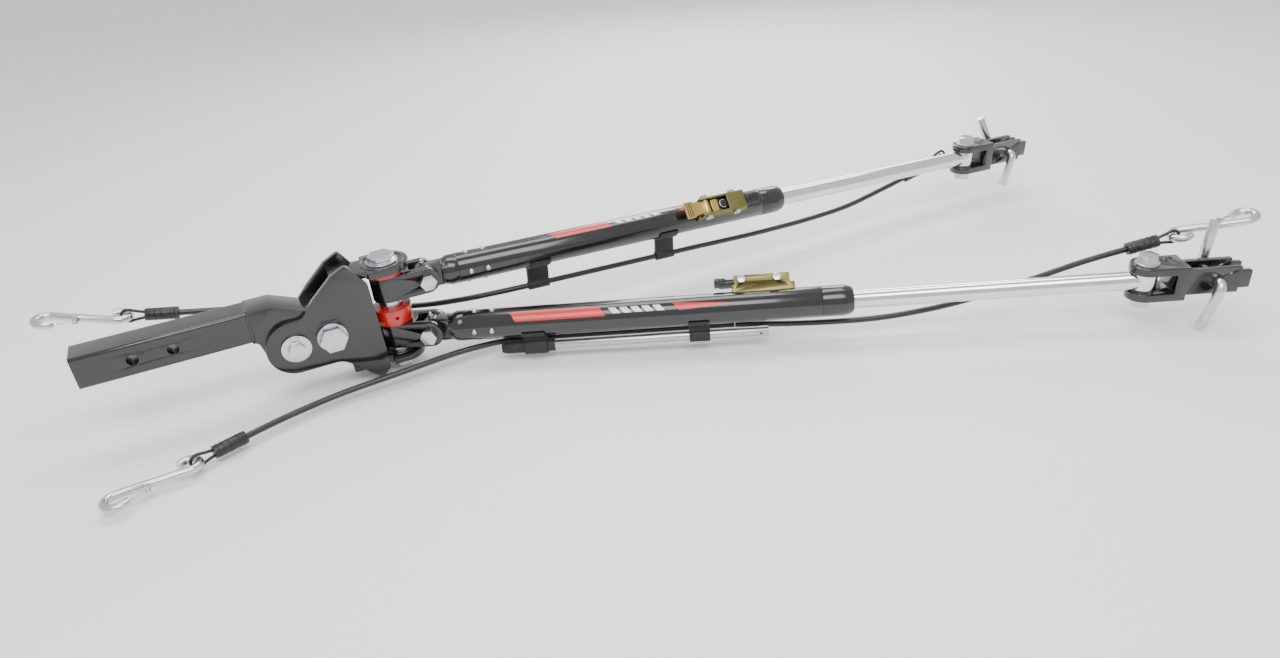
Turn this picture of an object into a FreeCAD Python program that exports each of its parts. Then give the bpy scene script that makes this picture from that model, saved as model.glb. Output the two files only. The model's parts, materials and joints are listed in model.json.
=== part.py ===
import FreeCAD, Part
import math
import os

V = FreeCAD.Vector
os.makedirs("parts", exist_ok=True)
doc = FreeCAD.newDocument("TowBar")

# Sizes in mm and degrees. The frame is +Z up, with X along the receiver shank and the origin
# at the centre of the hitch-pin hole.
dims = doc.addObject("Spreadsheet::Sheet", "Dims")
TABLE = [
    ("shank_side", 50.8, "receiver shank, across flats"),
    ("shank_tail", 76.5, "shank end behind the hitch-pin hole"),
    ("shank_run", 240.0, "length of the square shank"),
    ("hitch_hole_r", 8.3, "hitch-pin hole for a 5/8 in pin"),
    ("second_hole_x", 55.0, "spacing of the two hitch-pin holes"),
    ("kingpin_x", 378.0, "kingpin ahead of the hitch-pin hole"),
    ("head_gap", 53.0, "inside width between the head plates"),
    ("head_plate_t", 9.5, "head plate thickness"),
    ("pivot_a_r", 9.5, "rear head bolt"),
    ("pivot_b_r", 12.7, "front head bolt"),
    ("kingpin_r", 12.7, "kingpin"),
    ("collar_r", 31.0, "red collars"),
    ("knuckle_bore_r", 12.76, "knuckle bore on the kingpin"),
    ("knuckle_hub_r", 26.0, "knuckle hub"),
    ("knuckle_half", 21.7, "half height of a knuckle"),
    ("pitch_x", 60.4, "kingpin to pitch bolt"),
    ("pitch_bolt_r", 8.0, "pitch bolt"),
    ("tongue_half", 13.5, "half thickness of the arm tongue"),
    ("tube_r", 25.4, "outer tube"),
    ("tube_bore_r", 22.2, "outer tube bore"),
    ("tube_start", 55.0, "outer tube start from the pitch bolt"),
    ("tube_end", 640.0, "outer tube end"),
    ("collar_end", 689.0, "end collar mouth"),
    ("rod_r", 15.1, "inner rod"),
    ("rod_tail", 560.0, "tail of the inner rod inside the tube"),
    ("yoke_x", 1151.0, "yoke bolt"),
    ("yoke_bolt_r", 9.5, "yoke bolt shank"),
    ("pin_x", 1256.0, "pull-pin hole"),
    ("pin_r", 7.95, "pull pin"),
    ("slot_half", 11.0, "half of the slot for the base-plate tab"),
    ("cheek_half", 19.5, "half width over the yoke cheeks"),
    ("cheek_end", 1306.0, "front of the yoke"),
    ("cable_r", 5.0, "coated safety cable"),
    ("latch_x", 514.0, "latch lever pivot"),
    ("far_yaw", -1.0, "far arm heading"),
    ("far_pitch", -2.2, "far arm rise"),
    ("far_z", 2.0, "far arm height"),
    ("near_yaw", -27.5, "near arm heading"),
    ("near_pitch", 0.8, "near arm rise"),
    ("near_z", -82.0, "near arm height"),
]
D = {}
for row, (alias, value, note) in enumerate(TABLE, start=1):
    dims.set("A%d" % row, alias)
    dims.set("B%d" % row, str(value))
    dims.setAlias("B%d" % row, alias)
    dims.set("C%d" % row, note)
    D[alias] = value
doc.recompute()

NODES = {}


def put(obj, prop, value):
    """Set a size, as a table expression when it is text."""
    if isinstance(value, str):
        obj.setExpression(prop, value)
    else:
        setattr(obj, prop, value)


def cyl(name, r, h, base, axis=(0, 0, 1)):
    obj = doc.addObject("Part::Cylinder", name)
    put(obj, "Radius", r)
    put(obj, "Height", h)
    obj.Placement = FreeCAD.Placement(V(*base), FreeCAD.Rotation(V(0, 0, 1), V(*axis)))
    return obj


def cone(name, r1, r2, h, base, axis=(1, 0, 0)):
    obj = doc.addObject("Part::Cone", name)
    put(obj, "Radius1", r1)
    put(obj, "Radius2", r2)
    put(obj, "Height", h)
    obj.Placement = FreeCAD.Placement(V(*base), FreeCAD.Rotation(V(0, 0, 1), V(*axis)))
    return obj


def box(name, lo, hi):
    obj = doc.addObject("Part::Box", name)
    obj.Length = hi[0] - lo[0]
    obj.Width = hi[1] - lo[1]
    obj.Height = hi[2] - lo[2]
    obj.Placement.Base = V(*lo)
    return obj


def hexa(name, flats, h, base, axis=(0, 0, 1)):
    obj = doc.addObject("Part::Prism", name)
    obj.Polygon = 6
    obj.Circumradius = flats / math.sqrt(3.0)
    obj.Height = h
    obj.Placement = FreeCAD.Placement(V(*base), FreeCAD.Rotation(V(0, 0, 1), V(*axis)))
    return obj


def fuse(name, *parts):
    obj = doc.addObject("Part::MultiFuse", name)
    obj.Shapes = list(parts)
    return obj


def group(name, *parts):
    """Separate identical pieces kept in one node."""
    obj = doc.addObject("Part::Compound", name)
    obj.Links = list(parts)
    return obj


def cut(name, base, *tools):
    obj = doc.addObject("Part::Cut", name)
    obj.Base = base
    obj.Tool = tools[0] if len(tools) == 1 else fuse(name + "_tools", *tools)
    return obj


def rounded(points):
    """Lines and corner arcs of a closed outline given as (x, y, corner radius)."""
    shapes = []
    ends = []
    count = len(points)
    for i, (x, y, r) in enumerate(points):
        a = V(points[i - 1][0], points[i - 1][1], 0)
        b = V(x, y, 0)
        c = V(points[(i + 1) % count][0], points[(i + 1) % count][1], 0)
        u = (b - a).normalize()
        w = (c - b).normalize()
        turn = u.getAngle(w)
        t = r * math.tan(turn / 2.0)
        if t < 1e-6:
            ends.append((b, b, None))
            continue
        way = (w - u).normalize()
        middle = b + way * (r / math.cos(turn / 2.0) - r)
        ends.append((b - u * t, b + w * t, middle))
    for i, (p, q, middle) in enumerate(ends):
        if middle is not None:
            shapes.append(Part.Arc(p, middle, q))
        nxt = ends[(i + 1) % count][0]
        if (nxt - q).Length > 1e-4:
            shapes.append(Part.LineSegment(q, nxt))
    return shapes


def plate(name, role, points, thickness, offset):
    """A padded outline on one of the body's own origin planes."""
    body = doc.addObject("PartDesign::Body", name)
    plane = [f for f in body.Origin.OriginFeatures if f.Role == role][0]
    sketch = body.newObject("Sketcher::SketchObject", name + "_sketch")
    sketch.AttachmentSupport = [(plane, "")]
    sketch.MapMode = "FlatFace"
    sketch.AttachmentOffset = FreeCAD.Placement(V(0, 0, offset), FreeCAD.Rotation())
    for shape in rounded(points):
        sketch.addGeometry(shape, False)
    pad = body.newObject("PartDesign::Pad", name + "_pad")
    pad.Profile = sketch
    put(pad, "Length", thickness)
    doc.recompute()
    return body


def bent(name, points, r, report=False, grip=1000.0):
    """Round stock along straight runs joined by tangent arcs."""
    pts = [V(*p) for p in points]
    edges = []
    radii = []
    start = pts[0]
    for a, b, c in zip(pts, pts[1:], pts[2:]):
        u = (b - a).normalize()
        w = (c - b).normalize()
        turn = u.getAngle(w)
        t = min(grip, 0.45 * min((b - a).Length, (c - b).Length))
        rad = t / math.tan(turn / 2.0)
        way = (w - u).normalize()
        middle = b + way * (rad / math.cos(turn / 2.0) - rad)
        edges.append(Part.makeLine(start, b - u * t))
        edges.append(Part.Arc(b - u * t, middle, b + w * t).toShape())
        start = b + w * t
        radii.append(round(rad, 1))
    edges.append(Part.makeLine(start, pts[-1]))
    wire = Part.Wire(edges)
    ring = Part.Wire([Part.makeCircle(r, pts[0], pts[1] - pts[0])])
    obj = doc.addObject("Part::Feature", name)
    obj.Shape = wire.makePipeShell([ring], True, False)
    if report:
        swept = math.pi * r * r * wire.Length
        print(name, "length", round(wire.Length, 1), "radii", radii)
        print(name, "volume ratio", round(obj.Shape.Volume / swept, 4))
    return obj


def axes(origin, x_way, z_way=(0, 0, 1)):
    """A placement with its X along x_way and its Z near z_way."""
    x = V(*x_way).normalize()
    y = V(*z_way).cross(x).normalize()
    z = x.cross(y)
    m = FreeCAD.Matrix(x.x, y.x, z.x, origin[0], x.y, y.y, z.y, origin[1],
                       x.z, y.z, z.z, origin[2], 0, 0, 0, 1)
    return FreeCAD.Placement(m)


def node(name, obj, placement=None):
    if placement is not None:
        obj.Placement = placement.multiply(obj.Placement)
    NODES[name] = obj


KX = D["kingpin_x"]

# --- receiver shank: square bar with rounded edges and two hitch-pin holes
half = D["shank_side"] / 2.0
square = [(-half, -half, 5), (half, -half, 5), (half, half, 5), (-half, half, 5)]
bar = plate("shank_bar", "YZ_Plane", square, "Dims.shank_run", -D["shank_tail"])
hole_a = cyl("hitch_hole", "Dims.hitch_hole_r", 80, (0, 40, 0), (0, -1, 0))
hole_b = cyl("hitch_hole_front", "Dims.hitch_hole_r", 80, (D["second_hole_x"], 40, 0), (0, -1, 0))
node("shank_tube", cut("shank_tube", bar, hole_a, hole_b))

# --- neck: the thick block welded to the shank and held between the head plates
shank_front = D["shank_run"] - D["shank_tail"]
neck_line = [(shank_front, 25.4, 0), (KX - 178, 25.4, 18), (KX - 128, 4, 14), (KX - 66, 4, 6),
             (KX - 66, -88, 12), (KX - 170, -88, 30), (KX - 202, -58, 20),
             (shank_front + 5, -25.4, 10), (shank_front, -25.4, 0)]
neck = plate("neck_block", "XZ_Plane", neck_line, "Dims.head_gap", -D["head_gap"] / 2.0)
PIVOT_A = (KX - 160, -47)
PIVOT_B = (KX - 104, -45)
neck_holes = [cyl("neck_hole_a", "Dims.pivot_a_r + 0.05", 90, (PIVOT_A[0], 45, PIVOT_A[1]), (0, -1, 0)),
              cyl("neck_hole_b", "Dims.pivot_b_r + 0.05", 90, (PIVOT_B[0], 45, PIVOT_B[1]), (0, -1, 0))]
node("shank_neck", cut("shank_neck", neck, *neck_holes))

# --- head plates, one each side
outline = [(KX - 204, -91, 43.5), (KX - 204, -3, 43.5), (KX - 142, -3, 20), (KX - 119, 22, 10),
           (KX - 85, 53, 8), (KX - 59, 66, 7), (KX - 33, 26, 6), (KX - 27, -126, 12),
           (KX - 44, -142, 10), (KX - 97, -91, 30)]
inner = D["head_gap"] / 2.0
for side, offset in (("near", inner), ("far", -inner - D["head_plate_t"])):
    blank = plate("head_blank_" + side, "XZ_Plane", outline, "Dims.head_plate_t", offset)
    holes = [cyl("plate_hole", "Dims.pivot_a_r + 0.05", 90, (PIVOT_A[0], 45, PIVOT_A[1]), (0, -1, 0)),
             cyl("plate_hole", "Dims.pivot_b_r + 0.05", 90, (PIVOT_B[0], 45, PIVOT_B[1]), (0, -1, 0))]
    node("head_plate_" + side, cut("head_plate_" + side, blank, *holes))

# --- top and bottom plates carrying the kingpin
for name, back, front, radius, z in (("head_top_plate", -30, 41, 40, 34),
                                     ("head_bottom_plate", -20, 39, 38, -124)):
    line = [(KX - 84, -inner, 3), (KX + back, -inner, 0), (KX + back, -radius, 5),
            (KX + front, -radius, radius - 0.5), (KX + front, radius, radius - 0.5),
            (KX + back, radius, 5), (KX + back, inner, 0), (KX - 84, inner, 3)]
    thick = 10 if z > 0 else 12
    slab = plate(name + "_slab", "XY_Plane", line, thick, z)
    bore = cyl(name + "_bore", "Dims.kingpin_r + 0.05", 40, (KX, 0, z - 10))
    node(name, cut(name, slab, bore))

# --- head bolts across the plates, and their nuts
outer = inner + D["head_plate_t"]
shaft_a = cyl("bolt_a_shaft", "Dims.pivot_a_r", 2 * outer + 22, (PIVOT_A[0], -outer - 4, PIVOT_A[1]), (0, 1, 0))
washer_a = cyl("bolt_a_washer", 22.5, 4, (PIVOT_A[0], -outer - 4, PIVOT_A[1]), (0, 1, 0))
head_a = hexa("bolt_a_head", 24, 10, (PIVOT_A[0], -outer - 14, PIVOT_A[1]), (0, 1, 0))
shaft_b = cyl("bolt_b_shaft", "Dims.pivot_b_r", 2 * outer + 24, (PIVOT_B[0], -outer - 2, PIVOT_B[1]), (0, 1, 0))
head_b = hexa("bolt_b_head", 38, 15, (PIVOT_B[0], -outer - 15, PIVOT_B[1]), (0, 1, 0))
node("head_bolts", group("head_bolts", fuse("bolt_a", shaft_a, washer_a, head_a),
                         fuse("bolt_b", shaft_b, head_b)))
nut_a = cut("nut_a", hexa("nut_a_hex", 29, 15, (PIVOT_A[0], outer, PIVOT_A[1]), (0, 1, 0)),
            cyl("nut_a_bore", "Dims.pivot_a_r + 0.05", 40, (PIVOT_A[0], outer - 10, PIVOT_A[1]), (0, 1, 0)))
nut_b = cut("nut_b", hexa("nut_b_hex", 38, 18, (PIVOT_B[0], outer, PIVOT_B[1]), (0, 1, 0)),
            cyl("nut_b_bore", "Dims.pivot_b_r + 0.05", 40, (PIVOT_B[0], outer - 10, PIVOT_B[1]), (0, 1, 0)))
node("head_nuts", group("head_nuts", nut_a, nut_b))

# --- kingpin, nut, red collars and plain spacers
pin = cyl("kingpin_shaft", "Dims.kingpin_r", 190, (KX, 0, -146))
pin = fuse("kingpin_headed", pin, hexa("kingpin_head", 38, 12, (KX, 0, 44)))
pin_nut = cut("kingpin_nut", hexa("kingpin_nut_hex", 38, 16, (KX, 0, -140)),
              cyl("kingpin_nut_bore", "Dims.kingpin_r + 0.05", 30, (KX, 0, -147)))
node("kingpin_bolt", group("kingpin_bolt", pin, pin_nut))


def ring(name, r, z0, z1):
    return cut(name, cyl(name + "_blank", r, z1 - z0, (KX, 0, z0)),
               cyl(name + "_bore", "Dims.kingpin_r + 0.05", z1 - z0 + 4, (KX, 0, z0 - 2)))


node("collar_upper", ring("collar_upper", "Dims.collar_r", 24, 34))
lower = ring("collar_lower_ring", "Dims.collar_r", -60, -34)
node("collar_lower", cut("collar_lower", lower, cyl("collar_side_hole", 3, 12, (KX, -34, -47), (0, 1, 0))))
node("kingpin_spacers", group("kingpin_spacers", ring("spacer_mid", 19, -34, -20),
                              ring("spacer_low", 24, -112, -104)))

# --- the two arms
HOOK_LINE = [(10.7, -10.7, 0), (0, -15.2, 0), (-10.7, -10.7, 0), (-15.2, 0, 0), (-10.7, 10.7, 0),
             (0, 15.2, 0), (100, -17.5, 0), (112.4, -12.4, 0), (117.5, 0, 0), (112.4, 12.4, 0),
             (100, 17.5, 0), (88.8, 13.4, 0)]


def hook_set(prefix, frame):
    """Crimp sleeve, wire loop, hook and spring keeper along the X of a placement."""
    shell = cut(prefix + "_sleeve_shell", cyl(prefix + "_sleeve_blank", 10, 49, (0, 0, 0), (1, 0, 0)),
                cyl(prefix + "_sleeve_bore", "Dims.cable_r + 0.05", 22, (-1, 0, 0), (1, 0, 0)))
    loop = bent(prefix + "_loop_wire", [(45, 0, 4), (61, 0, 7), (74, 0, 11), (83, 0, 5), (83, 0, -5),
                                        (74, 0, -11), (61, 0, -7), (45, 0, -4)], 2.4)
    cup = box(prefix + "_loop_trim", (40, -12, -14), (49.05, 12, 14))
    node(prefix + "_sleeve", group(prefix + "_sleeve", shell, cut(prefix + "_loop", loop, cup)), frame)
    hook = bent(prefix + "_hook_wire", [(x + 85.6, y, z) for x, y, z in HOOK_LINE], 6.25)
    lugs = [box(prefix + "_lug_top", (142.9, -4, 3), (150.9, 8.5, 5.5)),
            box(prefix + "_lug_low", (142.9, -4, -5.5), (150.9, 8.5, -3))]
    rivet = cyl(prefix + "_keeper_rivet", 1.5, 11, (146.9, 6.2, -5.5))
    node(prefix + "_hook", fuse(prefix + "_hook", hook, lugs[0], lugs[1], rivet), frame)
    eye = cyl(prefix + "_keeper_eye", 3.2, 5.4, (146.9, 6.2, -2.7))
    bar = cyl(prefix + "_keeper_bar", 1.8, 22, (148.5, 7, 0), (0.951, 0.309, 0))
    body = fuse(prefix + "_keeper_body", eye, bar)
    keeper = cut(prefix + "_keeper", body, cyl(prefix + "_keeper_bore", 1.56, 8, (146.9, 6.2, -4)))
    node(prefix + "_keeper", keeper, frame)


for side in ("near", "far"):
    z_arm = D[side + "_z"]
    way = 1 if side == "near" else -1
    turn_z = FreeCAD.Placement(V(KX, 0, z_arm), FreeCAD.Rotation(V(0, 0, 1), D[side + "_yaw"]))
    lift = FreeCAD.Placement(V(D["pitch_x"], 0, 0), FreeCAD.Rotation(V(0, 1, 0), -D[side + "_pitch"]))
    arm = turn_z.multiply(lift)
    roll = arm.multiply(FreeCAD.Placement(V(0, 0, 0), FreeCAD.Rotation(V(1, 0, 0), -50 * way)))
    S = side + "_"

    # knuckle with two ears, turning on the kingpin
    h = D["knuckle_half"]
    px = D["pitch_x"]
    blank = fuse(S + "knuckle_blank", cyl(S + "hub", "Dims.knuckle_hub_r", 2 * h, (0, 0, -h)),
                 box(S + "hub_front", (0, -26, -h), (px, 26, h)),
                 cyl(S + "ear_round", h, 52, (px, -26, 0), (0, 1, 0)))
    slot = box(S + "ear_slot", (38, -14, -40), (px + 40, 14, 40))
    bore = cyl(S + "hub_bore", "Dims.knuckle_bore_r", 60, (0, 0, -30))
    cross = cyl(S + "ear_bore", "Dims.pitch_bolt_r + 0.05", 80, (px, -40, 0), (0, 1, 0))
    node(S + "knuckle", cut(S + "knuckle", blank, slot, bore, cross), turn_z)
    bolt = fuse(S + "pitch_bolt", cyl(S + "pitch_shaft", "Dims.pitch_bolt_r", 76, (px, -37, 0), (0, 1, 0)),
                hexa(S + "pitch_head", 24, 11, (px, -37, 0), (0, 1, 0)))
    nut = cut(S + "pitch_nut", hexa(S + "pitch_nut_hex", 24, 12, (px, 26, 0), (0, 1, 0)),
              cyl(S + "pitch_nut_bore", "Dims.pitch_bolt_r + 0.05", 30, (px, 20, 0), (0, 1, 0)))
    node(S + "knuckle_bolt", group(S + "knuckle_bolt", bolt, nut), turn_z)

    # outer tube, end plug, rivets and end collar
    ways = [(0, 0, 1), (0, 1, 0), (0, 0, -1), (0, -1, 0)]
    seats = []
    holes = []
    heads = []
    for s in (74, 103):
        for w in ways:
            at = [(s, w[1] * r, w[2] * r) for r in (17, 24.9, 18)]
            holes.append(cyl(S + "rivet_hole", 3.05, 14, at[0], w))
            seats.append(cyl(S + "rivet_seat", 4.7, 4, at[1], w))
            stem = cyl(S + "rivet_stem", 3.0, 8, at[2], w)
            dome = cone(S + "rivet_dome", 4.5, 2.4, 2.2, at[1], w)
            heads.append(fuse(S + "rivet", stem, dome))
    span = D["tube_end"] - D["tube_start"]
    tube = cyl(S + "tube_blank", "Dims.tube_r", span, (D["tube_start"], 0, 0), (1, 0, 0))
    bore = cyl(S + "tube_bore", "Dims.tube_bore_r", 700, (0, 0, 0), (1, 0, 0))
    top = (0, math.sin(math.radians(50)) * way, math.cos(math.radians(50)))
    port = cyl(S + "plunger_port", 6.1, 40, (548, 0, 0), top)
    node(S + "outer_tube", cut(S + "outer_tube", tube, bore, port, *(seats + holes)), arm)
    node(S + "tube_rivets", group(S + "tube_rivets", *heads), arm)
    tongue = fuse(S + "tongue", cyl(S + "tongue_eye", 20, 27, (0, -13.5, 0), (0, 1, 0)),
                  box(S + "tongue_bar", (0, -13.5, -18), (34, 13.5, 18)),
                  cone(S + "plug_cone", 20, "Dims.tube_r", 14, (28, 0, 0)),
                  cyl(S + "plug_flange", "Dims.tube_r", 13, (42, 0, 0), (1, 0, 0)),
                  cyl(S + "plug_spigot", "Dims.tube_bore_r - 0.05", 70, (50, 0, 0), (1, 0, 0)))
    plug_bores = [cyl(S + "plug_bore", 3.05, 14, (s, w[1] * 17, w[2] * 17), w)
                  for s in (74, 103) for w in ways]
    eye = cyl(S + "tongue_bore", "Dims.pitch_bolt_r + 0.06", 50, (0, -25, 0), (0, 1, 0))
    node(S + "end_plug", cut(S + "end_plug", tongue, eye, *plug_bores), arm)
    mouth = fuse(S + "mouth_blank", cyl(S + "mouth_ring", "Dims.tube_r", 37, (640, 0, 0), (1, 0, 0)),
                 cone(S + "mouth_nose", "Dims.tube_r", 22.5, 12, (677, 0, 0)),
                 cyl(S + "mouth_spigot", "Dims.tube_bore_r - 0.05", 32, (610, 0, 0), (1, 0, 0)))
    node(S + "end_collar", cut(S + "end_collar", mouth,
                               cyl(S + "mouth_bore", "Dims.rod_r + 0.06", 100, (600, 0, 0), (1, 0, 0))), arm)

    # latch bracket saddled on the tube, with its two cross bolts, plunger and lever
    lx = D["latch_x"]
    saddle = box(S + "saddle", (498, -17, 16), (600, 17, 33))
    cheeks = [box(S + "cheek_a", (502, -17, 30), (592, -13, 49)), box(S + "cheek_b", (502, 13, 30), (592, 17, 49))]
    hood = box(S + "hood", (556, -13, 47), (592, 13, 49))
    frame_body = fuse(S + "latch_blank", saddle, cheeks[0], cheeks[1], hood)
    clear = cyl(S + "saddle_clear", "Dims.tube_r", 200, (450, 0, 0), (1, 0, 0))
    bolt_holes = [cyl(S + "latch_hole", 4.05, 60, (x, -30, z), (0, 1, 0)) for x, z in ((lx, 41), (572, 41))]
    shaft_hole = cyl(S + "latch_plunger_hole", 6.1, 60, (548, 0, 5))
    node(S + "latch_bracket", cut(S + "latch_bracket", frame_body, clear, shaft_hole, *bolt_holes), roll)
    pins = [fuse(S + "latch_bolt", cyl(S + "latch_shaft", 4, 42, (x, -21, 41), (0, 1, 0)),
                 hexa(S + "latch_head", 13, 5, (x, -22, 41), (0, 1, 0)),
                 hexa(S + "latch_nut", 13, 5, (x, 17, 41), (0, 1, 0))) for x in (lx, 572)]
    plunger = fuse(S + "latch_plunger", cyl(S + "plunger_shaft", 6, 17.4, (548, 0, 22.6)),
                   cyl(S + "plunger_head", 9, 8, (548, 0, 33)))
    node(S + "latch_bolts", group(S + "latch_bolts", plunger, *pins), roll)
    lever = fuse(S + "lever_blank", cyl(S + "lever_boss", 7, 24, (lx, -12, 41), (0, 1, 0)),
                 box(S + "lever_arm", (478, -12, 38), (lx, 12, 45)),
                 box(S + "lever_tip", (470, -15, 41), (488, 15, 46)))
    node(S + "latch_lever", cut(S + "latch_lever", lever,
                                cyl(S + "lever_bore", 4.06, 60, (lx, -30, 41), (0, 1, 0))), roll)

    # inner rod with its eye and guide ring
    rod = fuse(S + "rod_blank", cyl(S + "rod_bar", "Dims.rod_r", 590, (560, 0, 0), (1, 0, 0)),
               cyl(S + "rod_eye", 19, 31.4, (1151, 0, -15.7)))
    node(S + "inner_rod", cut(S + "inner_rod", rod, cyl(S + "rod_eye_bore", "Dims.yoke_bolt_r + 0.06",
                                                        50, (1151, 0, -25))), arm)
    guide = cut(S + "rod_guide", cyl(S + "guide_blank", "Dims.tube_bore_r - 0.08", 26, (564, 0, 0), (1, 0, 0)),
                cyl(S + "guide_bore", "Dims.rod_r", 40, (555, 0, 0), (1, 0, 0)))
    node(S + "rod_guide", guide, arm)

    # yoke: flat ears round the rod eye, web, and two cheeks either side of the tab slot
    yoke = fuse(S + "yoke_blank", cyl(S + "yoke_ear", 25, 58, (1151, 0, -29)),
                box(S + "yoke_back", (1151, -25, -29), (1208, 25, 29)),
                box(S + "yoke_cheeks", (1200, -19.5, -22), (1290, 19.5, 22)),
                box(S + "yoke_nose", (1289, -19.5, -15), (1306, 19.5, 15)))
    gap = box(S + "yoke_eye_gap", (1100, -40, -16), (1190, 40, 16))
    slot = box(S + "yoke_tab_slot", (1212, -11, -40), (1350, 11, 40))
    v_bore = cyl(S + "yoke_bolt_bore", "Dims.yoke_bolt_r + 0.05", 100, (1151, 0, -50))
    p_bore = cyl(S + "yoke_pin_bore", "Dims.pin_r + 0.08", 80, (1256, -40, 0), (0, 1, 0))
    node(S + "yoke", cut(S + "yoke", yoke, gap, slot, v_bore, p_bore), arm)
    bolt = fuse(S + "yoke_bolt", cyl(S + "yoke_shaft", "Dims.yoke_bolt_r", 72, (1151, 0, -42)),
                cyl(S + "yoke_washer", 18, 3, (1151, 0, 29)),
                hexa(S + "yoke_head", 28, 12, (1151, 0, 32)))
    nut = cut(S + "yoke_nut", hexa(S + "yoke_nut_hex", 28, 14, (1151, 0, -43)),
              cyl(S + "yoke_nut_bore", "Dims.yoke_bolt_r + 0.05", 30, (1151, 0, -50)))
    node(S + "yoke_bolt", group(S + "yoke_bolt", bolt, nut), arm)

    # pull pin, bent down on one side and up into a handle on the other
    reach = 34
    if side == "near":
        line = [(1237, -reach, -72), (1256, -reach, 0), (1256, reach, 0), (1262, reach, 78)]
    else:
        line = [(1240, -reach, -66), (1256, -reach, 0), (1256, reach, 0), (1226, reach + 8, 62)]
    node(S + "pull_pin", bent(S + "pull_pin", line, D["pin_r"], False, 12.5), arm)

# --- cables: the clips and the part carried by each outer tube
near_arm = FreeCAD.Placement(V(KX, 0, D["near_z"]), FreeCAD.Rotation(V(0, 0, 1), D["near_yaw"])).multiply(
    FreeCAD.Placement(V(D["pitch_x"], 0, 0), FreeCAD.Rotation(V(0, 1, 0), -D["near_pitch"])))
far_arm = FreeCAD.Placement(V(KX, 0, D["far_z"]), FreeCAD.Rotation(V(0, 0, 1), D["far_yaw"])).multiply(
    FreeCAD.Placement(V(D["pitch_x"], 0, 0), FreeCAD.Rotation(V(0, 1, 0), -D["far_pitch"])))


def clip(name, s0, s1, holds):
    """A rubber strap round the tube with a loop for each thing it holds."""
    solids = [cyl(name + "_band", 28.6, s1 - s0, (s0, 0, 0), (1, 0, 0))]
    tools = [cyl(name + "_tube", "Dims.tube_r", s1 - s0 + 4, (s0 - 2, 0, 0), (1, 0, 0))]
    tools.append(box(name + "_open_top", (s0 - 5, -40, -9), (s1 + 5, 40, 40)))
    for y, z, r, wall in holds:
        solids.append(cyl(name + "_loop", r + wall, s1 - s0, (s0, y, z), (1, 0, 0)))
        solids.append(box(name + "_web", (s0, y - 4, z), (s1, y + 4, -24)))
        tools.append(cyl(name + "_way", r, s1 - s0 + 4, (s0 - 2, y, z), (1, 0, 0)))
    return cut(name, fuse(name + "_body", *solids), *tools)


near_clips = [clip("near_clip_rear", 150, 188, [(-10, -42, 10.55, 3), (14, -40, 5.05, 3)]),
              clip("near_clip_front", 424, 458, [(-10, -42, 8.06, 3), (14, -40, 5.05, 3)])]
node("near_cable_clips", group("near_cable_clips", *near_clips), near_arm)
far_clips = [clip("far_clip_rear", 176, 214, [(0, -62, 5.05, 3.2)]),
             clip("far_clip_front", 424, 460, [(0, -62, 5.05, 3.2)])]
node("far_cable_clips", group("far_cable_clips", *far_clips), far_arm)


def at(arm, s, n, up):
    p = arm.multVec(V(s, n, up))
    return (p.x, p.y, p.z)


def end_frame(line):
    """A placement at the end of a cable, 20 mm back from its tip."""
    a = V(*line[-2])
    b = V(*line[-1])
    way = (b - a).normalize()
    start = b - way * 20.0
    return axes((start.x, start.y, start.z), (way.x, way.y, way.z))


near_line = [at(near_arm, 500, 14, -40), at(near_arm, 120, 14, -40), (KX + 83, -62, -121),
             (KX - 20, -72, -122), (KX - 119, -70, -128), (KX - 213, -93, -128),
             (KX - 283, -118.2, -128)]
node("near_cable", bent("near_cable", near_line, D["cable_r"], True))
hook_set("near_rear", end_frame(near_line))

far_line = [at(far_arm, 500, 0, -62), at(far_arm, 150, 0, -62), (KX + 134, 15, -70), (KX + 70, 60, -84),
            (KX - 20, 88, -76), (KX - 120, 108, -50), (KX - 216, 120, -30), (KX - 332, 134, -10)]
node("far_cable", bent("far_cable", far_line, D["cable_r"], True))
hook_set("far_rear", end_frame(far_line))

# --- front cable spans from the tubes to the rod and yoke
near_front = [(501, 14, -40), (620, 12, -46), (740, 8, -44), (860, 18, -32), (980, 36, -8),
              (1080, 50, 16), (1162, 54, 34)]
line = [at(near_arm, *p) for p in near_front]
node("near_cable_front", bent("near_cable_front", line, D["cable_r"], True))
hook_set("near_front", end_frame(line))

far_front = [(501, 0, -62), (640, 2, -64), (760, 5, -62), (860, 9, -56), (950, 14, -38), (1031, 18, -20)]
line = [at(far_arm, *p) for p in far_front]
node("far_cable_front", bent("far_cable_front", line, D["cable_r"], True))
tail = end_frame(line)
shell = cut("far_front_sleeve_shell", cyl("far_front_sleeve_blank", 9, 49, (0, 0, 0), (1, 0, 0)),
            cyl("far_front_sleeve_bore", "Dims.cable_r + 0.05", 22, (-1, 0, 0), (1, 0, 0)))
shell.Placement = tail
stud = cyl("far_stud_pin", 5, 17, (1108, 14, 4), (0, 1, 0))
stud_head = cyl("far_stud_cap", 8, 3, (1108, 31, 4), (0, 1, 0))
stud_body = fuse("far_stud_body", stud, stud_head)
node("far_cable_stud", cut("far_cable_stud", stud_body,
                           cyl("far_stud_clear", "Dims.rod_r", 60, (1080, 0, 0), (1, 0, 0))), far_arm)
eye_wire = [(1064, 19, -14), (1082, 22, -12), (1104, 24, -8), (1119, 24, -4), (1121, 24, 7),
            (1112, 24, 16), (1100, 24, 12), (1080, 22, 0), (1064, 19, -9)]
eye_wire = bent("far_eye_wire", eye_wire, 2.4)
eye_wire.Placement = far_arm
node("far_cable_eye", group("far_cable_eye", shell, eye_wire))

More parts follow.
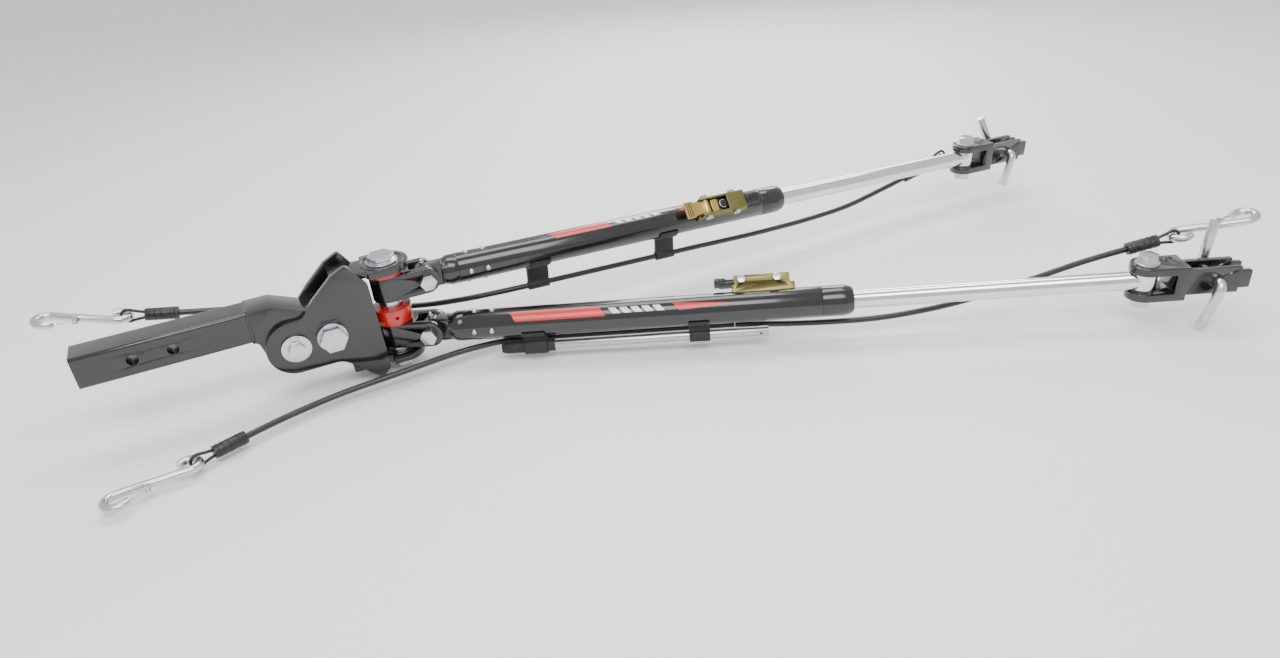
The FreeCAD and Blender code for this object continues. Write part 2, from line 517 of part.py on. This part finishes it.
# --- release handle clipped under the near arm
node("handle_tube", cut("handle_tube", cyl("handle_bar", 8, 354, (200, -10, -42), (1, 0, 0)),
                        cyl("handle_inside", 6.4, 200, (400, -10, -42), (1, 0, 0)),
                        cyl("handle_cross_hole", 2.5, 30, (541, -25, -42), (0, 1, 0))), near_arm)
node("handle_grip", fuse("handle_grip", cyl("grip_body", 10.5, 82, (118, -10, -42), (1, 0, 0)),
                         cone("grip_end", 8.5, 10.5, 6, (112, -10, -42))), near_arm)

# --- check every object and write one file for each node
doc.recompute()
for obj in doc.Objects:
    bad = [s for s in obj.State if s in ("Invalid", "Error")]
    if bad:
        raise RuntimeError("%s is %s" % (obj.Name, bad))
for name, obj in NODES.items():
    if obj.Shape.isNull() or not obj.Shape.isValid():
        raise RuntimeError("%s has no valid shape" % name)
    obj.Shape.exportStep("parts/%s.step" % name)
print("nodes", len(NODES))
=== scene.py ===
import math
import bpy
from mathutils import Matrix, Vector
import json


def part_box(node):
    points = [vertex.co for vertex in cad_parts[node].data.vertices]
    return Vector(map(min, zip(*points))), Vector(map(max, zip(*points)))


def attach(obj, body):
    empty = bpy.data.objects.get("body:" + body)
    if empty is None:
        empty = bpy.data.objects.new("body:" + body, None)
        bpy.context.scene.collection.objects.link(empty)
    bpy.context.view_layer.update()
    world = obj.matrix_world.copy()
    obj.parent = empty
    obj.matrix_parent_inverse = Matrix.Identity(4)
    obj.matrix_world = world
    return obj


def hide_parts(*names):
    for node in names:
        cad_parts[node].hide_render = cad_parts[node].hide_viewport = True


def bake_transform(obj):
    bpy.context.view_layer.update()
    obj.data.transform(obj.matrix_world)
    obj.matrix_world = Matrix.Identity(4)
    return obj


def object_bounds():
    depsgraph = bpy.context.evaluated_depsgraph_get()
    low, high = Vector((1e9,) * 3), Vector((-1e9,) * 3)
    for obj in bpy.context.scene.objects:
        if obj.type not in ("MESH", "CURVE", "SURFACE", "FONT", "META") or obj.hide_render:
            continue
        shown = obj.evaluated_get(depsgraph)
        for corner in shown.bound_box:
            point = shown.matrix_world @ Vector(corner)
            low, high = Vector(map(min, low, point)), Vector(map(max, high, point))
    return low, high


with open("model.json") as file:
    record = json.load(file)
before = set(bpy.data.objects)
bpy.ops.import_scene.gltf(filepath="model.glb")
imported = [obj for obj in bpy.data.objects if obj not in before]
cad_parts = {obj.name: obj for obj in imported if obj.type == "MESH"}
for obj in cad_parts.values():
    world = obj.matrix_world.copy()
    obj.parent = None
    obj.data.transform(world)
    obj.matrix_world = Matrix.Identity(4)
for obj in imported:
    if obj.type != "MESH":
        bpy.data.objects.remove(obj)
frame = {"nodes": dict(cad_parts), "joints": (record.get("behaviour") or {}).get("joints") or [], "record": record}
low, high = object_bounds()
record = frame["record"]
joints = {j["name"]: j for j in frame["joints"]}

# Camera: beside the near arm and above it, looking down and across to the far arm.
camera_data = bpy.data.cameras.new("camera")
camera = bpy.data.objects.new("camera", camera_data)
bpy.context.scene.collection.objects.link(camera)
bpy.context.scene.camera = camera
camera_data.lens = 25.31
camera_data.sensor_width = 36.0
right = Vector((0.89152, -0.44747, -0.07045))
upward = Vector((0.27791, 0.41748, 0.86514))
back = right.cross(upward).normalized()
turn = Matrix((right, upward, back)).transposed().to_4x4()
turn.translation = Vector((0.202, -1.3672, 0.6349))
camera.matrix_world = turn


def arm_frame(side):
    """Arm axes: X along the arm from the pitch bolt, Y sideways, Z up."""
    x = Vector(joints[side + "_telescope"]["axis"]).normalized()
    y = Vector(joints[side + "_pitch"]["axis"]).normalized()
    m = Matrix((x, y, x.cross(y))).transposed().to_4x4()
    m.translation = Vector(joints[side + "_pitch"]["pos_m"])
    return m


ARM = {side: arm_frame(side) for side in ("near", "far")}
FLAT = Matrix.Identity(4)
KINGPIN = Vector((joints["far_yaw"]["pos_m"][0], 0.0, 0.0))


# ---------------------------------------------------------------- shader groups
def socket(group, name, kind, way, value=None):
    """One socket on a shader group."""
    made = group.interface.new_socket(name, socket_type=kind, in_out=way)
    if value is not None:
        made.default_value = value
    return made


def node(tree, kind, **values):
    """A shader node with its inputs set."""
    made = tree.nodes.new(kind)
    for name, value in values.items():
        made.inputs[name.replace("_", " ")].default_value = value
    return made


# Fine grain: small bumps plus a slow drift in roughness.
grain = bpy.data.node_groups.new("Grain", "ShaderNodeTree")
socket(grain, "Place", "NodeSocketVector", "INPUT")
socket(grain, "Size", "NodeSocketFloat", "INPUT", 900.0)
socket(grain, "Height", "NodeSocketFloat", "INPUT", 0.05)
socket(grain, "Shine", "NodeSocketFloat", "INPUT", 0.3)
socket(grain, "Drift", "NodeSocketFloat", "INPUT", 0.1)
socket(grain, "Roughness", "NodeSocketFloat", "OUTPUT")
socket(grain, "Normal", "NodeSocketVector", "OUTPUT")
g_in = grain.nodes.new("NodeGroupInput")
g_out = grain.nodes.new("NodeGroupOutput")
fine = node(grain, "ShaderNodeTexNoise", Detail=3.0, Roughness=0.6)
slow = node(grain, "ShaderNodeTexNoise", Scale=24.0, Detail=4.0, Roughness=0.55)
bump = node(grain, "ShaderNodeBump", Distance=0.0006)
spread = grain.nodes.new("ShaderNodeMath")
spread.operation = "MULTIPLY_ADD"
centre = node(grain, "ShaderNodeMath")
centre.operation = "SUBTRACT"
centre.inputs[1].default_value = 0.5
wire = grain.links.new
wire(g_in.outputs["Place"], fine.inputs["Vector"])
wire(g_in.outputs["Place"], slow.inputs["Vector"])
wire(g_in.outputs["Size"], fine.inputs["Scale"])
wire(fine.outputs["Fac"], bump.inputs["Height"])
wire(g_in.outputs["Height"], bump.inputs["Strength"])
wire(slow.outputs["Fac"], centre.inputs[0])
wire(centre.outputs[0], spread.inputs[0])
wire(g_in.outputs["Drift"], spread.inputs[1])
wire(g_in.outputs["Shine"], spread.inputs[2])
wire(spread.outputs[0], g_out.inputs["Roughness"])
wire(bump.outputs["Normal"], g_out.inputs["Normal"])

# Handling wear: sparse scuffs and dust, as a mask and a tinted colour.
wear = bpy.data.node_groups.new("Wear", "ShaderNodeTree")
socket(wear, "Place", "NodeSocketVector", "INPUT")
socket(wear, "Clean", "NodeSocketColor", "INPUT")
socket(wear, "Worn", "NodeSocketColor", "INPUT")
socket(wear, "Amount", "NodeSocketFloat", "INPUT", 0.2)
socket(wear, "Colour", "NodeSocketColor", "OUTPUT")
socket(wear, "Mask", "NodeSocketFloat", "OUTPUT")
w_in = wear.nodes.new("NodeGroupInput")
w_out = wear.nodes.new("NodeGroupOutput")
cloud = node(wear, "ShaderNodeTexNoise", Scale=18.0, Detail=8.0, Roughness=0.7)
speck = node(wear, "ShaderNodeTexNoise", Scale=210.0, Detail=4.0, Roughness=0.6)
both = wear.nodes.new("ShaderNodeMath")
both.operation = "MULTIPLY"
ramp = wear.nodes.new("ShaderNodeMapRange")
ramp.inputs["From Min"].default_value = 0.26
ramp.inputs["From Max"].default_value = 0.42
amount = wear.nodes.new("ShaderNodeMath")
amount.operation = "MULTIPLY"
mix = wear.nodes.new("ShaderNodeMix")
mix.data_type = "RGBA"
wire = wear.links.new
wire(w_in.outputs["Place"], cloud.inputs["Vector"])
wire(w_in.outputs["Place"], speck.inputs["Vector"])
wire(cloud.outputs["Fac"], both.inputs[0])
wire(speck.outputs["Fac"], both.inputs[1])
wire(both.outputs[0], ramp.inputs["Value"])
wire(ramp.outputs["Result"], amount.inputs[0])
wire(w_in.outputs["Amount"], amount.inputs[1])
wire(amount.outputs[0], mix.inputs["Factor"])
wire(w_in.outputs["Clean"], mix.inputs["A"])
wire(w_in.outputs["Worn"], mix.inputs["B"])
wire(mix.outputs["Result"], w_out.inputs["Colour"])
wire(amount.outputs[0], w_out.inputs["Mask"])


def material(name, clean, worn, metal, shine, drift, height, grain_size, amount, coat=0.0):
    """A procedural finish from the two groups above."""
    made = bpy.data.materials.new(name)
    made.use_nodes = True
    tree = made.node_tree
    shader = tree.nodes["Principled BSDF"]
    shader.inputs["Metallic"].default_value = metal
    shader.inputs["Coat Weight"].default_value = coat
    shader.inputs["Coat Roughness"].default_value = 0.08
    place = tree.nodes.new("ShaderNodeTexCoord")
    texture = tree.nodes.new("ShaderNodeGroup")
    texture.node_tree = grain
    texture.inputs["Size"].default_value = grain_size
    texture.inputs["Height"].default_value = height
    texture.inputs["Shine"].default_value = shine
    texture.inputs["Drift"].default_value = drift
    marks = tree.nodes.new("ShaderNodeGroup")
    marks.node_tree = wear
    marks.inputs["Clean"].default_value = (*clean, 1.0)
    marks.inputs["Worn"].default_value = (*worn, 1.0)
    marks.inputs["Amount"].default_value = amount
    link = tree.links.new
    link(place.outputs["Object"], texture.inputs["Place"])
    link(place.outputs["Object"], marks.inputs["Place"])
    link(marks.outputs["Colour"], shader.inputs["Base Color"])
    link(texture.outputs["Roughness"], shader.inputs["Roughness"])
    link(texture.outputs["Normal"], shader.inputs["Normal"])
    return made


# Per slot: material name, clean colour, worn colour, metallic, mean roughness, roughness drift,
# bump height, grain size, wear amount and clear coat.
FINISHES = {
    "black_powder": ("Black powder coat", (0.006, 0.006, 0.007), (0.05, 0.045, 0.04),
                     0.0, 0.17, 0.14, 0.12, 700.0, 0.22, 0.6),
    "red_paint": ("Red enamel", (0.5, 0.012, 0.01), (0.16, 0.02, 0.02),
                  0.0, 0.22, 0.15, 0.08, 500.0, 0.4, 0.5),
    "zinc_steel": ("Bright zinc", (0.62, 0.63, 0.66), (0.33, 0.31, 0.28),
                   1.0, 0.26, 0.25, 0.1, 600.0, 0.45, 0.0),
    "stainless": ("Polished stainless", (0.78, 0.78, 0.79), (0.55, 0.54, 0.53),
                  1.0, 0.11, 0.12, 0.03, 1200.0, 0.3, 0.0),
    "yellow_zinc": ("Yellow chromate", (0.2, 0.175, 0.06), (0.12, 0.125, 0.07),
                    0.85, 0.34, 0.3, 0.12, 450.0, 0.6, 0.0),
    "lever_dark": ("Dark lever", (0.03, 0.031, 0.034), (0.16, 0.16, 0.16),
                   0.6, 0.36, 0.2, 0.15, 600.0, 0.4, 0.0),
    "rubber_black": ("Black rubber", (0.012, 0.012, 0.013), (0.05, 0.048, 0.045),
                     0.0, 0.62, 0.2, 0.3, 380.0, 0.5, 0.0),
    "cable_coat": ("Cable coating", (0.01, 0.01, 0.011), (0.04, 0.04, 0.04),
                   0.0, 0.34, 0.2, 0.15, 520.0, 0.3, 0.2),
    "crimp_black": ("Crimp", (0.014, 0.014, 0.015), (0.09, 0.09, 0.09),
                    0.1, 0.4, 0.2, 0.2, 500.0, 0.45, 0.0),
    "handle_steel": ("Brushed handle", (0.56, 0.56, 0.58), (0.36, 0.35, 0.33),
                     1.0, 0.32, 0.25, 0.1, 800.0, 0.5, 0.0),
    "guide_plastic": ("Guide ring", (0.7, 0.7, 0.66), (0.4, 0.4, 0.38),
                      0.0, 0.5, 0.2, 0.1, 400.0, 0.4, 0.0),
    "brass": ("Brass", (0.62, 0.42, 0.13), (0.32, 0.22, 0.09),
              1.0, 0.28, 0.25, 0.1, 500.0, 0.5, 0.0),
}
LOOK = {slot_name: material(*finish) for slot_name, finish in FINISHES.items()}
RED_DECAL = material("Red film", (0.6, 0.015, 0.012), (0.3, 0.02, 0.02),
                     0.0, 0.3, 0.1, 0.04, 600.0, 0.3, 0.3)
WHITE_DECAL = material("White film", (0.85, 0.85, 0.84), (0.5, 0.5, 0.48),
                       0.0, 0.34, 0.1, 0.04, 600.0, 0.3, 0.3)


# ---------------------------------------------------------------- making pieces
WELD_GAP = 0.00002
SHARP_EDGE = math.radians(40)
SMOOTH_BELOW = math.radians(34)


def tidy(name):
    """A piece name with underscores."""
    return name.replace(" ", "_")


def dress(obj, slot_name, look=None, bevel=0.0):
    """Finish, smooth shading and a small edge round."""
    obj.data.materials.clear()
    obj.data.materials.append(look or LOOK[slot_name])
    if obj.type != "MESH":
        return obj
    bpy.ops.object.select_all(action="DESELECT")
    obj.select_set(True)
    bpy.context.view_layer.objects.active = obj
    if bevel:
        weld = obj.modifiers.new("weld", "WELD")
        weld.merge_threshold = WELD_GAP
        edge = obj.modifiers.new("edge", "BEVEL")
        edge.width = bevel
        edge.segments = 2
        edge.limit_method = "ANGLE"
        edge.angle_limit = SHARP_EDGE
        edge.harden_normals = False
    bpy.ops.object.shade_smooth_by_angle(angle=SMOOTH_BELOW)
    return obj


def settle(obj, name, place, body, slot_name, look=None, bevel=0.0):
    """Bake a new piece into the shared frame and let it ride on a body."""
    obj.name = tidy(name)
    obj.data.transform(place @ obj.matrix_basis)
    obj.matrix_basis = Matrix.Identity(4)
    dress(obj, slot_name, look, bevel)
    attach(obj, body)
    return obj


def rod(name, radius, a, b, place, body, slot_name, look=None, bevel=0.0005, sides=48):
    """A cylinder between two points."""
    a, b = Vector(a), Vector(b)
    way = (b - a).to_track_quat("Z", "Y").to_euler()
    bpy.ops.object.select_all(action="DESELECT")
    bpy.ops.mesh.primitive_cylinder_add(vertices=sides, radius=radius, depth=(b - a).length,
                                        location=(a + b) / 2, rotation=way)
    return settle(bpy.context.object, name, place, body, slot_name, look, bevel)


def ball(name, radius, at, squash, place, body, slot_name, look=None):
    """A flattened ball, as a rivet or fitting head."""
    bpy.ops.object.select_all(action="DESELECT")
    bpy.ops.mesh.primitive_uv_sphere_add(segments=32, ring_count=16, radius=radius, location=at)
    obj = bpy.context.object
    obj.scale = squash
    return settle(obj, name, place, body, slot_name, look)


def block(name, lo, hi, place, body, slot_name, look=None, bevel=0.001):
    """A rectangular block."""
    lo, hi = Vector(lo), Vector(hi)
    bpy.ops.object.select_all(action="DESELECT")
    bpy.ops.mesh.primitive_cube_add(size=1.0, location=(lo + hi) / 2)
    obj = bpy.context.object
    obj.scale = hi - lo
    return settle(obj, name, place, body, slot_name, look, bevel)


def donut(name, big, small, at, way, place, body, slot_name, look=None):
    """A ring whose axis points along way."""
    turned = Vector(way).to_track_quat("Z", "Y").to_euler()
    bpy.ops.object.select_all(action="DESELECT")
    bpy.ops.mesh.primitive_torus_add(major_radius=big, minor_radius=small,
                                     major_segments=64, minor_segments=14,
                                     location=at, rotation=turned)
    return settle(bpy.context.object, name, place, body, slot_name, look)


# ---------------------------------------------------------------- cables
CABLE_R = 0.005
CABLE_STEP = 0.008
CORNER_STEPS = 8


def rounded_route(points):
    """Points along straight runs joined by tangent arcs."""
    pts = [Vector(p) for p in points]
    out = [pts[0]]
    for a, b, c in zip(pts, pts[1:], pts[2:]):
        u, w = (b - a).normalized(), (c - b).normalized()
        t = 0.45 * min((b - a).length, (c - b).length)
        half = u.angle(w) / 2
        rad = t / math.tan(half)
        way = (w - u).normalized()
        centre_at = b + way * (rad / math.cos(half))
        for i in range(CORNER_STEPS + 1):
            angle = -half + half * i / (CORNER_STEPS // 2)
            spoke = -way * math.cos(angle) + (u + w).normalized() * math.sin(angle)
            out.append(centre_at + spoke * rad)
    out.append(pts[-1])
    return out


def even(points, step):
    """The same route in short even steps, for a close-fitting spline."""
    out = [points[0]]
    for a, b in zip(points, points[1:]):
        count = max(1, int((b - a).length / step))
        out.extend(a.lerp(b, (i + 1) / count) for i in range(count))
    return out


def cable(name, line):
    """A coated cable as a spline along its route."""
    curve = bpy.data.curves.new(name, "CURVE")
    curve.dimensions = "3D"
    curve.bevel_depth = CABLE_R
    curve.bevel_resolution = 5
    curve.use_fill_caps = True
    spline = curve.splines.new("NURBS")
    spline.points.add(len(line) - 1)
    for point, p in zip(spline.points, line):
        point.co = (*p, 1.0)
    spline.order_u = 3
    spline.use_endpoint_u = True
    spline.resolution_u = 2
    obj = bpy.data.objects.new(tidy(name), curve)
    bpy.context.scene.collection.objects.link(obj)
    return obj


def near(s, n, up):
    """A point in the near arm's own axes."""
    return ARM["near"] @ Vector((s, n, up))


def far(s, n, up):
    """A point in the far arm's own axes."""
    return ARM["far"] @ Vector((s, n, up))


def pin(x, y, z):
    """A point measured from the kingpin."""
    return KINGPIN + Vector((x, y, z))


near_points = [near(0.5, 0.014, -0.04), near(0.12, 0.014, -0.04),
               pin(0.083, -0.062, -0.121), pin(-0.02, -0.072, -0.122),
               pin(-0.119, -0.07, -0.128), pin(-0.213, -0.093, -0.128),
               pin(-0.283, -0.1182, -0.128)]
far_points = [far(0.5, 0, -0.062), far(0.15, 0, -0.062),
              pin(0.134, 0.015, -0.07), pin(0.07, 0.06, -0.084),
              pin(-0.02, 0.088, -0.076), pin(-0.12, 0.108, -0.05),
              pin(-0.216, 0.12, -0.03), pin(-0.332, 0.134, -0.01)]
for side, points in (("near", near_points), ("far", far_points)):
    line = even(rounded_route(points), CABLE_STEP)
    obj = cable(side + " safety cable", line)
    dress(obj, "cable_coat")
    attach(obj, side + "_outer_arm")
    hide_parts(side + "_cable")
    extras = [frame["nodes"][side + "_rear_" + part] for part in ("sleeve", "hook", "keeper")]

near_front = [near(*p) for p in (
    (0.501, 0.014, -0.04), (0.62, 0.012, -0.046), (0.74, 0.008, -0.044), (0.86, 0.018, -0.032),
    (0.98, 0.036, -0.008), (1.08, 0.05, 0.016), (1.162, 0.054, 0.034))]
far_front = [far(*p) for p in (
    (0.501, 0, -0.062), (0.64, 0.002, -0.064), (0.76, 0.005, -0.062), (0.86, 0.009, -0.056),
    (0.95, 0.014, -0.038), (1.031, 0.018, -0.02))]
near_line = even(rounded_route(near_front), CABLE_STEP)
far_line = even(rounded_route(far_front), CABLE_STEP)
# The near cable crosses the telescope and then the yoke joint, so it is made in two spans.
SPLIT_AT = 1.0
to_arm = ARM["near"].inverted()
split = [i for i, p in enumerate(near_line) if (to_arm @ p).x > SPLIT_AT][0]
SPANS = (
    ("near front span", near_line[:split + 1], "near_outer_arm", "near_inner_arm",
     near(0.97, 0.034, -0.01), "near_cable_front", "object", []),
    ("near end span", near_line[split:], "near_inner_arm", "near_yoke",
     near(1.125, 0.052, 0.026), "near_cable_front", "fitting",
     ["near_front_sleeve", "near_front_hook", "near_front_keeper"]),
    ("far front span", far_line, "far_outer_arm", "far_inner_arm",
     far(0.96, 0.014, -0.036), "far_cable_front", "object", []),
)
for name, line, from_body, to_body, blend_end, stands_for, end_kind, extras in SPANS:
    obj = cable(name, line)
    bpy.ops.object.select_all(action="DESELECT")
    obj.select_set(True)
    bpy.context.view_layer.objects.active = obj
    bpy.ops.object.convert(target="MESH")
    obj = bpy.context.object
    dress(obj, "cable_coat")
    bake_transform(obj)
    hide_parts(stands_for)

# ---------------------------------------------------------------- carried-over pieces
EDGE_ROUND = {"rubber_black": 0.0008, "stainless": 0.0006, "black_powder": 0.0012}
USUAL_ROUND = 0.0007
for part in record["subparts"]:
    obj = frame["nodes"][part["node"]]
    if obj.hide_render:
        continue
    slot_name = part["material_slot"]
    dress(obj, slot_name, None, EDGE_ROUND.get(slot_name, USUAL_ROUND))


# ---------------------------------------------------------------- decals on the tubes
FILM_R = 0.02555
DASH_GAP, DASH_PITCH, DASH_LENGTH = 0.014, 0.018, 0.012


def film(name, side, s0, s1, a0, a1, slant, look, taper=1.0):
    """A thin film laid on the tube between two angles, with slanted ends."""
    bpy.ops.object.select_all(action="DESELECT")
    bpy.ops.mesh.primitive_grid_add(x_subdivisions=30, y_subdivisions=16, size=1.0)
    obj = bpy.context.object
    for v in obj.data.vertices:
        u, w = v.co.x + 0.5, v.co.y + 0.5
        centre_w = 0.5 + (w - 0.5) * (1 - u + u * taper)
        angle = math.radians(a0 + (a1 - a0) * centre_w)
        s = s0 + (s1 - s0) * u + slant * (w - 0.5)
        v.co = (s, -FILM_R * math.sin(angle), FILM_R * math.cos(angle))
    return settle(obj, name, ARM[side], side + "_outer_arm", "black_powder", look)


for side, a, b, block_at, stripe_at in (("near", 22, 62, (0.138, 0.285), (0.405, 0.492)),
                                        ("far", -2, 34, (0.225, 0.33), (0.468, 0.494))):
    film(side + " red block", side, *block_at, a, b, 0.01, RED_DECAL)
    film(side + " stripe", side, *stripe_at, a + 6, b - 4, 0.012, RED_DECAL, 0.2)
    for i in range(5):
        start = block_at[1] + DASH_GAP + DASH_PITCH * i
        film("%s dash %d" % (side, i), side, start, start + DASH_LENGTH, a + 10, b - 8, 0.008,
             WHITE_DECAL)

# ---------------------------------------------------------------- small hardware
ALONG, UPWARDS = (1, 0, 0), (0, 0, 1)
RIVET_STATIONS = (0.074, 0.103)
RIVET_OUT = 0.0252
LATCH_X, LATCH_UP = 0.548, 0.0405
LATCH_TILT = math.radians(50)
YOKE_X = 1.151


def latch_frame(side):
    """Arm axes rolled to the tilt of the latch bracket, which leans towards the other arm."""
    tilt = -LATCH_TILT if side == "near" else LATCH_TILT
    return ARM[side] @ Matrix.Rotation(tilt, 4, "X")


for side in ("near", "far"):
    arm = ARM[side]
    outer_arm = side + "_outer_arm"
    # Domed rivet heads over the flat CAD ones.
    for s in RIVET_STATIONS:
        for y, z in ((0, 1), (1, 0), (0, -1), (-1, 0)):
            ball(side + " rivet dome", 0.0046, (s, y * RIVET_OUT, z * RIVET_OUT), (1, 1, 1), arm,
                 outer_arm, "zinc_steel")
    # A rolled bead where the tube meets the plug, and the seal in the end collar's mouth.
    donut(side + " plug bead", 0.0252, 0.0008, (0.0552, 0, 0), ALONG, arm, outer_arm,
          "black_powder")
    donut(side + " mouth seal", 0.0188, 0.0024, (0.6888, 0, 0), ALONG, arm, outer_arm,
          "rubber_black")
    # Grease fitting on top of each pitch joint.
    rod(side + " grease hex", 0.0042, (0.0, 0.0, 0.0195), (0.0, 0.0, 0.0245), arm, outer_arm,
        "zinc_steel", None, 0.0004, 6)
    ball(side + " grease ball", 0.003, (0, 0, 0.0262), (1, 1, 1.1), arm, outer_arm, "zinc_steel")
    # Weld bead where the tongue meets the plug flange.
    donut(side + " tongue weld", 0.0205, 0.0016, (0.0292, 0, 0), ALONG, arm, outer_arm,
          "black_powder")
    # Spring coils and button of the latch plunger, and ribs across the lever.
    roll = latch_frame(side)
    for i in range(6):
        donut("%s latch spring %d" % (side, i), 0.0072, 0.0009,
              (LATCH_X, 0, 0.0345 + i * 0.0019), (0.12, 0, 1), roll, outer_arm, "zinc_steel")
    rod(side + " latch button", 0.0095, (LATCH_X, 0, LATCH_UP), (LATCH_X, 0, 0.0445), roll,
        outer_arm, "lever_dark", None, 0.0008)
    for x in (0.4745, 0.4785, 0.4825):
        rod("%s lever rib %.4f" % (side, x), 0.0008, (x, -0.0135, 0.0461), (x, 0.0135, 0.0461),
            roll, side + "_lever", "lever_dark", None, 0.0)
    # Threads at the foot of the yoke bolt, and the washer on the rod eye.
    yoke = side + "_yoke"
    for i in range(2):
        donut("%s yoke thread %d" % (side, i), 0.0093, 0.0006, (YOKE_X, 0, -0.0405 + i * 0.0015),
              UPWARDS, arm, yoke, "zinc_steel")
    donut(side + " eye washer", 0.0125, 0.0009, (YOKE_X, 0, 0.0161), UPWARDS, arm, yoke,
          "guide_plastic")

# Brass block and black knob of the far latch.
roll = latch_frame("far")
block("brass latch block", (0.5235, -0.0115, 0.0332), (0.5375, 0.0115, 0.0445), roll,
      "far_outer_arm", "yellow_zinc", LOOK["brass"])
rod("far latch knob", 0.0115, (0.5925, 0, LATCH_UP), (0.621, 0, LATCH_UP), roll,
    "far_outer_arm", "lever_dark", None, 0.003)
for i in range(4):
    donut("far knob ring %d" % i, 0.0113, 0.0008, (0.6 + i * 0.0048, 0, LATCH_UP), ALONG, roll,
          "far_outer_arm", "lever_dark")

# Crimp rings on the cable sleeves, and the small coil springs on the hook keepers.
CRIMP_PLACES = (-0.014, -0.008, 0.006, 0.015, 0.023)
COIL_PITCH = 0.0015
CRIMPS = (
    ("near rear", near_points, "near_outer_arm", 0.01),
    ("far rear", far_points, "far_outer_arm", 0.01),
    ("near front", near_front, "near_yoke", 0.01),
    ("far front", far_front, "far_inner_arm", 0.009),
)
for label, points, body, radius in CRIMPS:
    tip = Vector(points[-1])
    way_out = (tip - Vector(points[-2])).normalized()
    for i, along in enumerate(CRIMP_PLACES):
        donut("%s crimp %d" % (label, i), radius - 0.0002, 0.0009, tip + way_out * along,
              way_out, FLAT, body, "crimp_black")
    if label != "far front":
        keeper = tidy(label) + "_keeper"
        swing = joints[keeper + "_swing"]
        pivot, up_axis = Vector(swing["pos_m"]), Vector(swing["axis"])
        for i in range(3):
            donut("%s keeper coil %d" % (label, i), 0.0033, 0.0007,
                  pivot + up_axis * (i - 1) * COIL_PITCH, up_axis, FLAT, keeper, "zinc_steel")

# Washers under the heads of the front bolt and the kingpin, and a ring on the top plate.
front_bolt_x = KINGPIN.x - 0.104
near_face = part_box("head_plate_near")[0].y
rod("front head washer", 0.0235, (front_bolt_x, near_face - 0.0025, -0.045),
    (front_bolt_x, near_face + 0.0005, -0.045), FLAT, "head", "zinc_steel", None, 0.0006, 64)
rod("kingpin washer", 0.025, pin(0, 0, 0.0437), pin(0, 0, 0.0468), FLAT, "head",
    "zinc_steel", None, 0.0006, 64)
donut("top plate ring", 0.0335, 0.0012, pin(0, 0, 0.0441), UPWARDS, FLAT, "head",
      "black_powder")

# Threads at the foot of the kingpin.
for i in range(4):
    donut("kingpin thread %d" % i, 0.0126, 0.0007, pin(0, 0, -0.1415 - i * 0.0012), UPWARDS,
          FLAT, "head", "zinc_steel")

# Weld beads where the neck joins the shank.
WELD_R, WELD_HALF = 0.0026, 0.021
shank_low, shank_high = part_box("shank_tube")
for z in (shank_low.z + 0.001, shank_high.z - 0.001):
    rod("neck weld %.3f" % z, WELD_R, (shank_high.x, -WELD_HALF, z),
        (shank_high.x, WELD_HALF, z), FLAT, "head", "black_powder", None, 0.0006, 16)
for y in (shank_low.y + 0.0005, shank_high.y - 0.0005):
    rod("neck side weld %.3f" % y, WELD_R, (shank_high.x, y, -WELD_HALF),
        (shank_high.x, y, WELD_HALF), FLAT, "head", "black_powder", None, 0.0006, 16)

# Ribs round the rubber grip.
RIB_PITCH = 0.0062
for i in range(12):
    donut("grip rib %d" % i, 0.0102, 0.0008, (0.122 + i * RIB_PITCH, -0.01, -0.042), ALONG,
          ARM["near"], "release_handle", "rubber_black")

# ---------------------------------------------------------------- floor and light
FLOOR_SIZE, FLOOR_GAP = 14.0, 0.0006
low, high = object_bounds()
bpy.ops.object.select_all(action="DESELECT")
bpy.ops.mesh.primitive_plane_add(size=FLOOR_SIZE, location=(0.8, 0.6, low.z - FLOOR_GAP))
floor = bpy.context.object
floor.name = "floor"
pale = material("Pale floor", (0.92, 0.92, 0.92), (0.87, 0.87, 0.87),
                0.0, 0.7, 0.1, 0.03, 90.0, 0.2)
floor.data.materials.append(pale)

world = bpy.data.worlds.new("studio")
bpy.context.scene.world = world
world.use_nodes = True
world.node_tree.nodes["Background"].inputs["Color"].default_value = (0.97, 0.98, 1.0, 1.0)
world.node_tree.nodes["Background"].inputs["Strength"].default_value = 0.95


def light(name, at, size, power, target):
    """A soft rectangular light aimed at a point."""
    data = bpy.data.lights.new(name, "AREA")
    data.shape = "RECTANGLE"
    data.size, data.size_y = size
    data.energy = power
    obj = bpy.data.objects.new(name, data)
    bpy.context.scene.collection.objects.link(obj)
    obj.location = at
    obj.rotation_euler = (Vector(at) - Vector(target)).to_track_quat("Z", "Y").to_euler()
    return obj


middle = (low + high) / 2
light("key", (0.2, -1.6, 2.2), (2.2, 1.2), 55, middle)
light("top", (1.0, 0.6, 2.4), (2.6, 1.0), 45, middle)
light("rim", (2.2, 1.8, 1.2), (1.4, 1.0), 30, middle)
